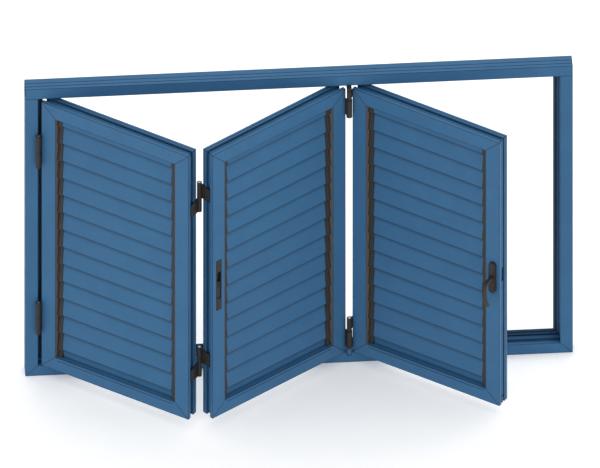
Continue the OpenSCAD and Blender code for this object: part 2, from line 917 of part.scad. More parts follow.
// A flat arm from the hinge line back to the track. Its post there ends at post_end
module track_arm(z, t, post_end) {
    reach = track_y - rest_pivot[3][1];
    mid = z + t / 2;
    translate([0, 0, z])
        difference() {
            union() {
                cylinder(h = t, r = arm_w / 2);
                translate([-arm_w / 2, 0, 0]) cube([arm_w, reach, t]);
                translate([0, reach, 0]) cylinder(h = t, r = arm_w / 2);
            }
            translate([0, 0, -eps]) cylinder(h = t + 2 * eps, r = pin_r + pin_fit);
        }
    translate([0, reach, min(mid, post_end)]) cylinder(h = abs(post_end - mid), r = post_r);
}

module carriage_arm() {
    color(dark) at_track() track_arm(head_arm_z, arm_t, roller_z + block_up);
}

module carriage_block() {
    color(dark) translate([track_x, track_y, 0])
        difference() {
            translate([-block_len / 2, -block_w / 2, block_low]) cube([block_len, block_w, block_h]);
            translate([0, 0, block_low - eps]) cylinder(h = block_h + 2 * eps, r = post_r + pin_fit);
            for (s = [-1, 1])
                translate([s * wheelbase / 2, 0, roller_z])
                    rotate([90, 0, 0]) cylinder(h = block_w + 2 * eps, r = axle_r + pin_fit, center = true);
        }
}

// An axle with a roller at each end
module wheelset(s) {
    inner = block_w / 2 + roller_side;
    color(nylon) translate([track_x + s * wheelbase / 2, track_y, roller_z]) rotate([90, 0, 0]) {
        cylinder(h = 2 * (inner + roller_t + axle_end), r = axle_r, center = true);
        for (m = [0, 1]) mirror([0, 0, m])
            translate([0, 0, inner])
                difference() {
                    cylinder(h = roller_t, r = roller_r);
                    translate([0, 0, -eps]) cylinder(h = roller_t + 2 * eps, r = axle_r);
                }
    }
}

module carriage_rollers_left() {
    wheelset(-1);
}

module carriage_rollers_right() {
    wheelset(1);
}

// The bottom arm, with a boss round the pin up to the hinge
module guide_arm() {
    boss_h = door_starts[0] - knuckle_gap - sill_arm_z;
    color(blue) at_track() {
        track_arm(sill_arm_z, guide_arm_t, face_w - channel_depth + shoe_drop + post_foot);
        translate([0, 0, sill_arm_z])
            difference() {
                cylinder(h = boss_h, r = boss_r);
                translate([0, 0, -eps]) cylinder(h = boss_h + 2 * eps, r = pin_r + pin_fit);
            }
    }
}

module guide_shoe() {
    w = slot_w - 2 * run_fit;
    low = face_w - channel_depth + shoe_drop;
    top = face_w - shoe_drop;
    color(nylon) translate([track_x, track_y, low])
        difference() {
            translate([-shoe_len / 2, -w / 2, 0]) cube([shoe_len, w, top - low]);
            translate([0, 0, -eps]) cylinder(h = top - low + 2 * eps, r = post_r + pin_fit);
        }
}

head_rail();
sill_rail();
left_jamb();
right_jamb();
frame_seals();
sill_cleats();
left_stile(1);  // leaf_1_left_stile
right_stile(1);  // leaf_1_right_stile
top_rail(1);  // leaf_1_top_rail
bottom_rail(1);  // leaf_1_bottom_rail
blades(1);  // leaf_1_blades
blade_holders(1);  // leaf_1_blade_holders
liners(1);  // leaf_1_liners
closers(1);  // leaf_1_closers
leaf_cleats(1);  // leaf_1_cleats
left_stile(2);  // leaf_2_left_stile
right_stile(2);  // leaf_2_right_stile
top_rail(2);  // leaf_2_top_rail
bottom_rail(2);  // leaf_2_bottom_rail
blades(2);  // leaf_2_blades
blade_holders(2);  // leaf_2_blade_holders
liners(2);  // leaf_2_liners
closers(2);  // leaf_2_closers
leaf_cleats(2);  // leaf_2_cleats
left_stile(3);  // leaf_3_left_stile
right_stile(3);  // leaf_3_right_stile
top_rail(3);  // leaf_3_top_rail
bottom_rail(3);  // leaf_3_bottom_rail
blades(3);  // leaf_3_blades
blade_holders(3);  // leaf_3_blade_holders
liners(3);  // leaf_3_liners
closers(3);  // leaf_3_closers
leaf_cleats(3);  // leaf_3_cleats
jamb_hinge_frame_halves();
jamb_hinge_leaf_halves();
jamb_hinge_pins();
fold_hinge_lower_halves();
fold_hinge_upper_halves();
fold_hinge_pins();
door_hinge_wide_halves();
door_hinge_narrow_halves();
door_hinge_pins();
frame_screws();
leaf_1_screws();
leaf_2_screws();
leaf_3_screws();
flush_pull_tray();
flush_pull_slider();
handle_rosette();
handle_lever();
lock_case();
lock_rod_upper();
lock_rod_lower();
carriage_arm();
carriage_cap_nut();
carriage_block();
carriage_rollers_left();
carriage_rollers_right();
guide_arm();
guide_shoe();
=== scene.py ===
"""Folding louvred shutter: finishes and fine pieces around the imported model.

Lengths are in metres, in the model's own frame: +X along the frame, -Y the outside, +Z up.
"""

import json
import math

import bmesh
import bpy
from bpy.props import FloatProperty, PointerProperty, StringProperty
from mathutils import Matrix, Vector


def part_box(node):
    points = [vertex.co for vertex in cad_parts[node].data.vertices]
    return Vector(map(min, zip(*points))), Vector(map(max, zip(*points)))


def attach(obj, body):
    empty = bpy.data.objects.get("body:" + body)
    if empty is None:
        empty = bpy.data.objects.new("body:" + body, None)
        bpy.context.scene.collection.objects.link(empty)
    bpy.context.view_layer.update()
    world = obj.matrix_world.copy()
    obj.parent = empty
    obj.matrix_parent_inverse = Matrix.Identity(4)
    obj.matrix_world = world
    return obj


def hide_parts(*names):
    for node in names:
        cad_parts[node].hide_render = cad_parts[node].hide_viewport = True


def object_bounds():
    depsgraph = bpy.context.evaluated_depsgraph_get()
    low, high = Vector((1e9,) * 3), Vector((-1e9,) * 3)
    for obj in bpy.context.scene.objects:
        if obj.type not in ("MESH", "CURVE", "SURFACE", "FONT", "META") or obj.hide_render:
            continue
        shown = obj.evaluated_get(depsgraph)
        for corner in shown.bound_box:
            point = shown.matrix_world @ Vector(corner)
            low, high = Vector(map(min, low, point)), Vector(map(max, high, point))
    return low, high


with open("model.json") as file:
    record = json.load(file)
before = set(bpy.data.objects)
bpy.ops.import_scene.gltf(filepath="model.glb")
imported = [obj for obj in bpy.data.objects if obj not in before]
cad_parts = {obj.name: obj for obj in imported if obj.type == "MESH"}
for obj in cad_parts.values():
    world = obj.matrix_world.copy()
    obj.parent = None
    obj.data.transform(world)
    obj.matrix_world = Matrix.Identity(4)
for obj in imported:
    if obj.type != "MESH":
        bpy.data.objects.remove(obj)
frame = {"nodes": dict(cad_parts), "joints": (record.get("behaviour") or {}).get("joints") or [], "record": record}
CAD_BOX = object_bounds()

bl_info = {
    "name": "Folding Louvred Shutter",
    "version": (1, 0, 0),
    "blender": (4, 5, 0),
    "location": "View3D > Sidebar > Shutter",
    "description": "Finishes a folding louvred aluminium shutter and makes its fine pieces",
    "category": "Object",
}

MM = 0.001
UP = Vector((0, 0, 1))
LEAVES = (1, 2, 3)
# points of a modelled mesh nearer than this are one point
MERGE = 0.002 * MM
# faces that meet at more than this keep a sharp edge
SHARP = math.radians(35)
# points within this of a screw's end lie on its end face
END_FACE = 0.05 * MM


# ---------- places taken from the model ----------
def joint(name):
    return next(j for j in frame["joints"] if j["name"] == name)


def material_slot_of(node):
    return next(s["material_slot"] for s in frame["record"]["subparts"] if s["node"] == node)


def islands(node):
    """The separate solids of a node, each as its list of points."""
    mesh = bmesh.new()
    mesh.from_mesh(frame["nodes"][node].data)
    bmesh.ops.remove_doubles(mesh, verts=mesh.verts, dist=MERGE)
    seen, found = set(), []
    for start in mesh.verts:
        if start in seen:
            continue
        seen.add(start)
        stack, points = [start], []
        while stack:
            vert = stack.pop()
            points.append(vert.co.copy())
            for edge in vert.link_edges:
                other = edge.other_vert(vert)
                if other not in seen:
                    seen.add(other)
                    stack.append(other)
        found.append(points)
    mesh.free()
    return found


def box_of(points):
    low = Vector([min(p[k] for p in points) for k in range(3)])
    high = Vector([max(p[k] for p in points) for k in range(3)])
    return low, high


# ---------- colours and nodes ----------
def linear(hex_colour):
    """An sRGB hex colour as linear RGBA."""
    values = [int(hex_colour[k:k + 2], 16) / 255 for k in (1, 3, 5)]
    return tuple(v / 12.92 if v <= 0.04045 else ((v + 0.055) / 1.055) ** 2.4 for v in values) + (1.0,)


def add(tree, kind, settings=None, **inputs):
    """Adds a node, sets its properties and its inputs: a socket is linked, a value is stored.
    The setting "stops" holds the places and colours of a colour ramp."""
    node = tree.nodes.new(kind)
    for name, value in (settings or {}).items():
        if name == "stops":
            elements = node.color_ramp.elements
            while len(elements) < len(value):
                elements.new(0.5)
            for element, (place, colour) in zip(elements, value):
                element.position = place
                element.color = colour
        else:
            setattr(node, name, value)
    for name, value in inputs.items():
        key = int(name[1:]) if name[0] == "_" and name[1:].isdigit() else name.replace("_", " ")
        if isinstance(value, bpy.types.NodeSocket):
            tree.links.new(value, node.inputs[key])
        else:
            node.inputs[key].default_value = value
    return node


def new_material(name):
    material = bpy.data.materials.new(name)
    material.use_nodes = True
    tree = material.node_tree
    tree.nodes.clear()
    shader = tree.nodes.new("ShaderNodeBsdfPrincipled")
    out = tree.nodes.new("ShaderNodeOutputMaterial")
    tree.links.new(shader.outputs["BSDF"], out.inputs["Surface"])
    return material, tree, shader


def grey(value):
    return (value, value, value, 1.0)


def shade(colour, factor):
    return tuple(c * factor for c in colour[:3]) + (1.0,)


def grain(tree, size_mm, detail=2.0, stretch=(1, 1, 1)):
    """Noise on the piece's own coordinates whose cells are about size_mm across."""
    place = add(tree, "ShaderNodeTexCoord").outputs["Object"]
    placed = add(tree, "ShaderNodeMapping", Vector=place, Scale=stretch).outputs["Vector"]
    noise = add(tree, "ShaderNodeTexNoise", Vector=placed, Scale=1 / (size_mm * MM), Detail=detail)
    return noise.outputs["Fac"]


def painted_hollow_shade(tree, reach_mm, depth):
    """Painted shade: a tone that falls to depth where the surface faces something nearer than reach_mm."""
    near = add(tree, "ShaderNodeAmbientOcclusion", {"samples": 8}, Distance=reach_mm * MM).outputs["AO"]
    return add(tree, "ShaderNodeValToRGB", {"stops": [(0.2, grey(depth)), (0.9, grey(1))]},
               Fac=near).outputs["Color"]


def painted_edge_shade(tree, width_mm, depth):
    """Painted shade: a tone that falls to depth along every edge and crease of a piece, where the surface bends
    sharply.
    A real shade line there is a few tenths of a millimetre and faint; this one is drawn wider and darker to show."""
    bent = add(tree, "ShaderNodeBevel", {"samples": 8}, Radius=width_mm * MM).outputs["Normal"]
    flat = add(tree, "ShaderNodeNewGeometry").outputs["Normal"]
    match = add(tree, "ShaderNodeVectorMath", {"operation": "DOT_PRODUCT"}, _0=bent, _1=flat).outputs["Value"]
    return add(tree, "ShaderNodeValToRGB", {"stops": [(0.93, grey(depth)), (0.999, grey(1))]},
               Fac=match).outputs["Color"]


def multiplied(tree, colour, *tones):
    """A colour darkened by each tone in turn."""
    for tone in tones:
        colour = add(tree, "ShaderNodeMix", {"data_type": "RGBA", "blend_type": "MULTIPLY"},
                     _0=1.0, _6=colour, _7=tone).outputs[2]
    return colour


def surface(tree, shader, colour, rough, relief, strength, depth_mm):
    """Gives a shader its colour, its roughness (a socket, or a value set on its own input) and its relief."""
    tree.links.new(colour, shader.inputs["Base Color"])
    if isinstance(rough, bpy.types.NodeSocket):
        tree.links.new(rough, shader.inputs["Roughness"])
    else:
        shader.inputs["Roughness"].default_value = rough
    bump = add(tree, "ShaderNodeBump", Height=relief, Strength=strength, Distance=depth_mm * MM)
    tree.links.new(bump.outputs["Normal"], shader.inputs["Normal"])


# ---------- materials ----------
def painted_louvre_shade(tree):
    """Painted shade of one louvre after another: a dark line along each lower edge, where it overlaps the louvre
    below, and painted shade for a little way under the louvre above. Both are drawn stronger than real shade."""
    lows = sorted({round(box_of(points)[0].z, 5) for points in islands("leaf_1_blades")})
    pitch = lows[1] - lows[0]
    place = add(tree, "ShaderNodeTexCoord").outputs["Object"]
    height = add(tree, "ShaderNodeSeparateXYZ", Vector=place).outputs["Z"]
    share = add(tree, "ShaderNodeMath", {"operation": "MULTIPLY_ADD"},
                _0=height, _1=1 / pitch, _2=-lows[0] / pitch).outputs[0]
    turn = add(tree, "ShaderNodeMath", {"operation": "FRACT"}, _0=share).outputs[0]
    # in mm: the painted shade line, where it has faded, the deep painted shade at the top and where that shade
    # starts
    edge, soft, shadow, fade = (v * MM / pitch for v in (2.2, 3.4, 5.5, 17))
    line, shaded, plain = grey(0.2), grey(0.66), grey(1)
    stops = [(0.0, line), (edge, line), (soft, plain), (1 - fade, plain), (1 - shadow, shaded), (1.0, shaded)]
    return add(tree, "ShaderNodeValToRGB", {"stops": stops}, Fac=turn).outputs["Color"]


def powder_coat(look, name, shade_reach_mm, shade_depth, louvred=False):
    """Polyester powder coat on extruded aluminium: an even satin colour with a faint orange peel,
    with painted shade along its edges and creases and in its hollows."""
    material, tree, shader = new_material(name)
    colour = linear(look.coat_colour)
    # flow marks of the coat, about 90 mm across
    cloud = add(tree, "ShaderNodeValToRGB", {"stops": [(0.3, shade(colour, 0.96)), (0.7, shade(colour, 1.04))]},
                Fac=grain(tree, 90, 3)).outputs["Color"]
    # the real peel is about 2 mm across; 6 mm is the finest that shows
    peel = grain(tree, 6, 1.5)
    speck = add(tree, "ShaderNodeValToRGB", {"stops": [(0.35, grey(0.975)), (0.65, grey(1.02))]},
                Fac=peel).outputs["Color"]
    # painted shade: darker along every edge and crease, in hollows and, on louvres, along each overlap
    edge = painted_edge_shade(tree, look.edge_width, look.edge_shade_depth)
    hollow = painted_hollow_shade(tree, shade_reach_mm, shade_depth)
    tones = [speck, edge, hollow] + ([painted_louvre_shade(tree)] if louvred else [])
    rough = add(tree, "ShaderNodeValToRGB", {"stops": [(0.3, grey(0.46)), (0.7, grey(0.56))]},
                Fac=grain(tree, 35, 2)).outputs["Color"]
    surface(tree, shader, multiplied(tree, cloud, *tones), rough, peel, 0.1, 0.25)
    shader.inputs["Specular IOR Level"].default_value = 0.14
    return material


def textured_coat(look):
    """Fine-texture coat on die-cast hinges and fittings: dry and dark, with a sandy grain,
    and painted shade along its corners and in its hollows."""
    material, tree, shader = new_material("textured_coat_on_zinc_casting")
    colour = linear(look.hardware_colour)
    # the real grain is about 0.4 mm; 1.6 mm shows from close by
    sand = grain(tree, 1.6, 3)
    tone = add(tree, "ShaderNodeValToRGB", {"stops": [(0.35, shade(colour, 0.7)), (0.65, shade(colour, 1.35))]},
               Fac=sand).outputs["Color"]
    # painted shade along the corners and in the hollows
    edge = painted_edge_shade(tree, look.edge_width, 0.3)
    surface(tree, shader, multiplied(tree, tone, edge, painted_hollow_shade(tree, 6, 0.45)), 0.55, sand, 0.35, 0.15)
    shader.inputs["Specular IOR Level"].default_value = 0.3
    return material


def moulded_nylon(look):
    """Glass-filled nylon of the blade holders: matt, nearly black, with faint flow clouds."""
    material, tree, shader = new_material("moulded_glass_filled_nylon")
    colour = linear(look.holder_colour)
    flow = add(tree, "ShaderNodeValToRGB", {"stops": [(0.3, shade(colour, 0.75)), (0.7, shade(colour, 1.3))]},
               Fac=grain(tree, 12, 3)).outputs["Color"]
    # painted shade along the corners and in the hollows
    tones = [painted_edge_shade(tree, 1.5, 0.35), painted_hollow_shade(tree, 8, 0.3)]
    surface(tree, shader, multiplied(tree, flow, *tones), 0.55, grain(tree, 0.8, 2), 0.2, 0.08)
    return material


def extruded_pvc(look):
    """Extruded PVC of the liner strips: warm grey, with drawn streaks along its length."""
    material, tree, shader = new_material("extruded_grey_pvc")
    colour = linear(look.liner_colour)
    streak = grain(tree, 4, 2, stretch=(1, 1, 0.03))
    tone = add(tree, "ShaderNodeValToRGB", {"stops": [(0.3, shade(colour, 0.88)), (0.7, shade(colour, 1.12))]},
               Fac=streak).outputs["Color"]
    surface(tree, shader, tone, 0.6, streak, 0.15, 0.1)
    return material


def seal_rubber():
    """Extruded EPDM seal: soft black with a dusty bloom."""
    material, tree, shader = new_material("extruded_epdm_rubber")
    colour = linear("#242426")
    bloom = add(tree, "ShaderNodeValToRGB", {"stops": [(0.35, shade(colour, 0.8)), (0.7, shade(colour, 1.8))]},
                Fac=grain(tree, 6, 4)).outputs["Color"]
    surface(tree, shader, bloom, 0.75, grain(tree, 1, 2), 0.2, 0.06)
    shader.inputs["Sheen Weight"].default_value = 0.1
    return material


def mill_aluminium():
    """Mill-finish aluminium of cleats and lock case: grey with drawing lines."""
    material, tree, shader = new_material("mill_finish_aluminium")
    line = grain(tree, 1.2, 3, stretch=(1, 1, 0.02))
    tone = add(tree, "ShaderNodeValToRGB", {"stops": [(0.3, linear("#8E9092")), (0.7, linear("#B9BBBD"))]},
               Fac=line).outputs["Color"]
    rough = add(tree, "ShaderNodeValToRGB", {"stops": [(0.3, grey(0.32)), (0.7, grey(0.45))]},
                Fac=line).outputs["Color"]
    surface(tree, shader, tone, rough, line, 0.15, 0.05)
    shader.inputs["Metallic"].default_value = 1.0
    return material


def turned_steel(name, dark, light, metallic):
    """Turned steel of pins, screws and nuts, bright or black-passivated, with turning rings."""
    material, tree, shader = new_material(name)
    ring = grain(tree, 0.9, 2, stretch=(0.2, 0.2, 1))
    tone = add(tree, "ShaderNodeValToRGB", {"stops": [(0.3, linear(dark)), (0.7, linear(light))]},
               Fac=ring).outputs["Color"]
    surface(tree, shader, tone, 0.38, ring, 0.12, 0.05)
    shader.inputs["Metallic"].default_value = metallic
    return material


def natural_nylon():
    """Turned natural nylon of rollers and shoe: cream, slightly translucent, with dull grey track marks."""
    material, tree, shader = new_material("turned_natural_nylon")
    wear = add(tree, "ShaderNodeValToRGB", {"stops": [(0.35, linear("#A8A59A")), (0.6, linear("#D8D5C8"))]},
               Fac=grain(tree, 5, 4)).outputs["Color"]
    surface(tree, shader, wear, 0.42, grain(tree, 0.7, 2), 0.15, 0.04)
    shader.inputs["Subsurface Weight"].default_value = 0.08
    shader.inputs["Subsurface Radius"].default_value = (0.002, 0.002, 0.0015)
    return material


def joint_sealant(look):
    """The hairline where two mitred members meet, filled with small-joint sealant: the coat's
    colour gone dark. A real one is under a millimetre wide; it is drawn wider to show."""
    material, tree, shader = new_material("mitre_joint_sealant")
    colour = linear(look.joint_colour)
    tone = add(tree, "ShaderNodeValToRGB", {"stops": [(0.3, shade(colour, 0.85)), (0.7, shade(colour, 1.15))]},
               Fac=grain(tree, 3, 3)).outputs["Color"]
    surface(tree, shader, tone, 0.6, grain(tree, 1, 2), 0.2, 0.05)
    return material


def lit_floor():
    """Opal acrylic sheet of a studio light table: matt, pale, faintly stippled and lit a little from below."""
    material, tree, shader = new_material("lit_opal_acrylic_sheet")
    tone = add(tree, "ShaderNodeValToRGB", {"stops": [(0.3, linear("#FBFBFA")), (0.7, linear("#FEFEFD"))]},
               Fac=grain(tree, 60, 4)).outputs["Color"]
    surface(tree, shader, tone, 0.9, grain(tree, 8, 2), 0.05, 0.2)
    shader.inputs["Specular IOR Level"].default_value = 0.1
    shader.inputs["Emission Color"].default_value = (1, 1, 1, 1)
    shader.inputs["Emission Strength"].default_value = 0.22
    return material


FINISHES = {}


def finish(slot):
    """The material of a slot, made once."""
    if slot not in FINISHES:
        look = bpy.context.scene.shutter_look
        reach = look.groove_shade_reach
        FINISHES[slot] = {
            "blue_aluminium": lambda: powder_coat(look, "powder_coated_aluminium", reach, 0.62),
            "louvre": lambda: powder_coat(look, "powder_coated_louvre_blade", look.louvre_reach, 0.6,
                                          louvred=True),
            "dark_hardware": lambda: textured_coat(look),
            "holder_plastic": lambda: moulded_nylon(look),
            "liner_plastic": lambda: extruded_pvc(look),
            "seal_rubber": seal_rubber,
            "plain_alloy": mill_aluminium,
            "pin_steel": lambda: turned_steel("turned_stainless_steel", "#8F8C88", "#C4C1BC", 1.0),
            "screw_steel": lambda: turned_steel("black_passivated_steel", "#2C2826", "#4A4541", 0.6),
            "roller_nylon": natural_nylon,
            "joint": lambda: joint_sealant(look),
        }[slot]()
    return FINISHES[slot]


# ---------- pieces ----------
def new_piece(name, mesh, body, slot, nodes=(), material=None, smooth=True):
    """Links a finished mesh as a piece that rides on a body."""
    mesh.name = name
    mesh.materials.clear()
    mesh.materials.append(material or finish(slot))
    if smooth:
        mesh.shade_smooth()
        mesh.set_sharp_from_angle(angle=SHARP)
    piece = bpy.data.objects.new(name, mesh)
    bpy.context.scene.collection.objects.link(piece)
    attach(piece, body)
    if nodes:
        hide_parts(*nodes)
    return piece


def baked(tree_maker, name, points, **inputs):
    """Runs a Geometry Nodes tree on a mesh of points and returns the plain mesh."""
    holder = bpy.data.meshes.new(name)
    holder.from_pydata([p for p, _ in points], [], [])
    facing = holder.attributes.new("facing", "FLOAT_VECTOR", "POINT")
    facing.data.foreach_set("vector", [c for _, d in points for c in d])
    carrier = bpy.data.objects.new(name, holder)
    bpy.context.scene.collection.objects.link(carrier)
    modifier = carrier.modifiers.new("nodes", "NODES")
    modifier.node_group = tree_maker()
    for item in modifier.node_group.interface.items_tree:
        if item.item_type == "SOCKET" and item.in_out == "INPUT" and item.name in inputs:
            modifier[item.identifier] = inputs[item.name]
    graph = bpy.context.evaluated_depsgraph_get()
    mesh = bpy.data.meshes.new_from_object(carrier.evaluated_get(graph))
    carrier.modifiers.remove(modifier)
    bpy.data.objects.remove(carrier)
    return mesh


def start_tree(name, sizes):
    """A Geometry Nodes tree with named length inputs; returns it with its input and output nodes."""
    tree = bpy.data.node_groups.new(name, "GeometryNodeTree")
    tree.interface.new_socket("Geometry", in_out="INPUT", socket_type="NodeSocketGeometry")
    for label, value in sizes.items():
        socket = tree.interface.new_socket(label, in_out="INPUT", socket_type="NodeSocketFloat")
        socket.default_value = value
        socket.subtype = "DISTANCE"
    tree.interface.new_socket("Geometry", in_out="OUTPUT", socket_type="NodeSocketGeometry")
    return tree, tree.nodes.new("NodeGroupInput").outputs, tree.nodes.new("NodeGroupOutput").inputs


def end_tree(tree, output, shape, points, material):
    """Puts the shape on every point, turned so its +Z lies along the point's facing."""
    facing = add(tree, "GeometryNodeInputNamedAttribute", {"data_type": "FLOAT_VECTOR"}, Name="facing")
    turned = add(tree, "FunctionNodeAlignRotationToVector", {"axis": "Z"}, Vector=facing.outputs["Attribute"])
    placed = add(tree, "GeometryNodeInstanceOnPoints", Points=points, Instance=shape,
                 Rotation=turned.outputs["Rotation"])
    solid = add(tree, "GeometryNodeRealizeInstances", Geometry=placed.outputs["Instances"])
    painted = add(tree, "GeometryNodeSetMaterial", Geometry=solid.outputs["Geometry"], Material=material)
    tree.links.new(painted.outputs["Geometry"], output["Geometry"])
    return tree


def shifted(tree, geometry, height, share):
    """A shape moved along its own Z by a share of a height."""
    rise = add(tree, "ShaderNodeMath", {"operation": "MULTIPLY"}, _0=height, _1=share).outputs[0]
    offset = add(tree, "ShaderNodeCombineXYZ", Z=rise).outputs["Vector"]
    return add(tree, "GeometryNodeTransform", Geometry=geometry, Translation=offset).outputs["Geometry"]


def screw_tree():
    """A countersunk screw with a cross recess, its head's face at the point and its shank behind it."""
    sizes = {"Head Radius": 3.6 * MM, "Head Depth": 1.6 * MM, "Shank Radius": 1.9 * MM, "Length": 10 * MM}
    recess_long, recess_wide, recess_deep = 4.2 * MM, 0.9 * MM, 1.8 * MM
    tree, given, output = start_tree("countersunk_screws", sizes)
    cone = add(tree, "GeometryNodeMeshCone", Vertices=28, Side_Segments=1, Radius_Top=given["Head Radius"],
               Radius_Bottom=given["Shank Radius"], Depth=given["Head Depth"])
    head = shifted(tree, cone.outputs["Mesh"], given["Head Depth"], -1)
    cut = add(tree, "GeometryNodeMeshBoolean", {"operation": "DIFFERENCE"}, Mesh_1=head)
    for size in ((recess_wide, recess_long, recess_deep), (recess_long, recess_wide, recess_deep)):
        bar = add(tree, "GeometryNodeMeshCube", Size=size).outputs["Mesh"]
        tree.links.new(bar, cut.inputs["Mesh 2"])
    ends = (given["Length"], given["Head Depth"])
    rest = add(tree, "ShaderNodeMath", {"operation": "SUBTRACT"}, _0=ends[0], _1=ends[1]).outputs[0]
    both = add(tree, "ShaderNodeMath", {"operation": "ADD"}, _0=ends[0], _1=ends[1]).outputs[0]
    shank = add(tree, "GeometryNodeMeshCylinder", Vertices=20, Radius=given["Shank Radius"], Depth=rest)
    whole = add(tree, "GeometryNodeJoinGeometry")
    tree.links.new(cut.outputs["Mesh"], whole.inputs["Geometry"])
    tree.links.new(shifted(tree, shank.outputs["Mesh"], both, -0.5), whole.inputs["Geometry"])
    return end_tree(tree, output, whole.outputs["Geometry"], given["Geometry"], finish("screw_steel"))


def head_of(points, across):
    """Where a screw's head is and which way it faces: the wider end along the leaf's width."""
    reach = [p.dot(across) for p in points]
    low, high = min(reach), max(reach)
    ends = []
    for limit, way in ((low, -1), (high, 1)):
        end = [p for p, r in zip(points, reach) if abs(r - limit) < END_FACE]
        centre = sum(end, Vector()) / len(end)
        width = max((p - centre).length for p in end)
        ends.append((width, centre, across * way))
    width, centre, way = max(ends, key=lambda e: e[0])
    return centre, way


def straight(number):
    """Unit vector across a leaf, from its left stile to its right one."""
    low_left = box_of([v.co for v in frame["nodes"][f"leaf_{number}_left_stile"].data.vertices])
    low_right = box_of([v.co for v in frame["nodes"][f"leaf_{number}_right_stile"].data.vertices])
    across = (low_right[0] + low_right[1]) / 2 - (low_left[0] + low_left[1]) / 2
    across.z = 0
    return across.normalized()


class SHUTTER_OT_coat(bpy.types.Operator):
    """Give every modelled node the finish of its material slot"""

    bl_idname = "shutter.coat"
    bl_label = "Finish the Modelled Nodes"

    def execute(self, context):
        for name, node in frame["nodes"].items():
            material = finish("louvre" if name.endswith(("_blades", "_closers")) else material_slot_of(name))
            for place in node.material_slots:
                place.material = material
        return {"FINISHED"}


class SHUTTER_OT_screws(bpy.types.Operator):
    """Make the countersunk hinge screws with their cross recesses"""

    bl_idname = "shutter.screws"
    bl_label = "Hinge Screws"

    def execute(self, context):
        sets = {"frame_screws": ("frame", Vector((1, 0, 0)))}
        for number in LEAVES:
            sets[f"leaf_{number}_screws"] = (f"leaf_{number}", straight(number))
        for node, (body, across) in sets.items():
            places = [head_of(points, across) for points in islands(node)]
            mesh = baked(screw_tree, node + "_points", places)
            new_piece(node + "_fine", mesh, body, "screw_steel", [node])
        return {"FINISHED"}


class SHUTTER_OT_seals(bpy.types.Operator):
    """Make the hollow bulb seals in the frame's rear lip"""

    bl_idname = "shutter.seals"
    bl_label = "Stop Seals"

    def execute(self, context):
        mesh = bmesh.new()
        for points in islands("frame_seals"):
            low, high = box_of(points)
            run = max(range(3), key=lambda k: high[k] - low[k])
            side = 2 if run == 0 else 0
            bulb_seal(mesh, low, high, run, side)
        new_piece("frame_seal_bulbs", closed_mesh(mesh, "seals"), "frame", "seal_rubber", ["frame_seals"])
        return {"FINISHED"}


def bulb_seal(mesh, low, high, run, side, steps=12):
    """A flat foot with a round bulb in front, carried along the run."""
    width, depth = high[side] - low[side], high[1] - low[1]
    bulb = depth * 0.55
    profile = [(0.0, depth), (0.0, bulb)]
    for k in range(steps + 1):
        angle = math.pi * k / steps
        profile.append((width / 2 - math.cos(angle) * width / 2, bulb * (1 - math.sin(angle))))
    profile += [(width, bulb), (width, depth)]
    rings = []
    for end in (low[run], high[run]):
        ring = []
        for across, back in profile:
            place = [0, low[1] + back, 0]
            place[side] = low[side] + across
            place[run] = end
            ring.append(mesh.verts.new(place))
        rings.append(ring)
    close_tube(mesh, rings)


def close_tube(mesh, rings):
    """Joins rings of points one after another and closes both ends."""
    for first, second in zip(rings, rings[1:]):
        for k in range(len(first)):
            j = (k + 1) % len(first)
            mesh.faces.new((first[k], first[j], second[j], second[k]))
    mesh.faces.new(rings[0])
    mesh.faces.new(list(reversed(rings[-1])))


def closed_mesh(mesh, name):
    """Turns the faces outwards and makes the working mesh a finished one."""
    bmesh.ops.recalc_face_normals(mesh, faces=mesh.faces)
    data = bpy.data.meshes.new(name)
    mesh.to_mesh(data)
    mesh.free()
    return data


class SHUTTER_OT_mitres(bpy.types.Operator):
    """Draw the sealed hairlines where the mitred members meet, front and back"""

    bl_idname = "shutter.mitres"
    bl_label = "Mitre Joints"

    def execute(self, context):
        look = context.scene.shutter_look
        for number in LEAVES:
            mesh = bmesh.new()
            across = straight(number)
            inward = Vector((-across.y, across.x, 0))
            for node, way in ((f"leaf_{number}_left_stile", 1), (f"leaf_{number}_right_stile", -1)):
                points = [v.co for v in frame["nodes"][node].data.vertices]
                reach = [p.dot(across) * way for p in points]
                low_reach, high_reach = min(reach), max(reach)
                outer, inner = low_reach * way, high_reach * way
                depth = [p.dot(inward) for p in points]
                low, high = box_of(points)
                wide = high_reach - low_reach
                for near, out in ((min(depth), -1), (max(depth), 1)):
                    for foot, lift in ((low.z, 1), (high.z, -1)):
                        start = across * outer + inward * near + UP * foot
                        stop = across * inner + inward * near + UP * (foot + lift * wide)
                        hairline(mesh, start, stop, inward * out, look.joint_width)
            place_hairlines(mesh, f"leaf_{number}_mitres", f"leaf_{number}")
        mesh = bmesh.new()
        left_end, front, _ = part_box("left_jamb")[0]
        right_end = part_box("right_jamb")[1][0]
        wide = look.frame_face * MM
        for edge, way in ((left_end, 1), (right_end, -1)):
            start = Vector((edge, front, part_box("sill_rail")[0][2]))
            stop = start + Vector((way * wide, 0, wide))
            hairline(mesh, start, stop, Vector((0, -1, 0)), look.joint_width)
        place_hairlines(mesh, "frame_mitres", "frame")
        return {"FINISHED"}


def hairline(mesh, start, stop, out, width_mm):
    """A shallow ridge of sealant from start to stop on the face that looks out."""
    width = width_mm * MM
    along = (stop - start).normalized()
    start, stop = start + along * width, stop - along * width
    side = along.cross(out).normalized() * (width / 2)
    crown = side * 0.7
    rise = out.normalized() * (0.12 * MM)
    sink = out.normalized() * (-0.4 * MM)
    rings = []
    for end in (start, stop):
        places = (end + side + sink, end + crown + rise, end - crown + rise, end - side + sink)
        rings.append([mesh.verts.new(place) for place in places])
    close_tube(mesh, rings)


def place_hairlines(mesh, name, body):
    new_piece(name, closed_mesh(mesh, name), body, "blue_aluminium", material=finish("joint"), smooth=False)


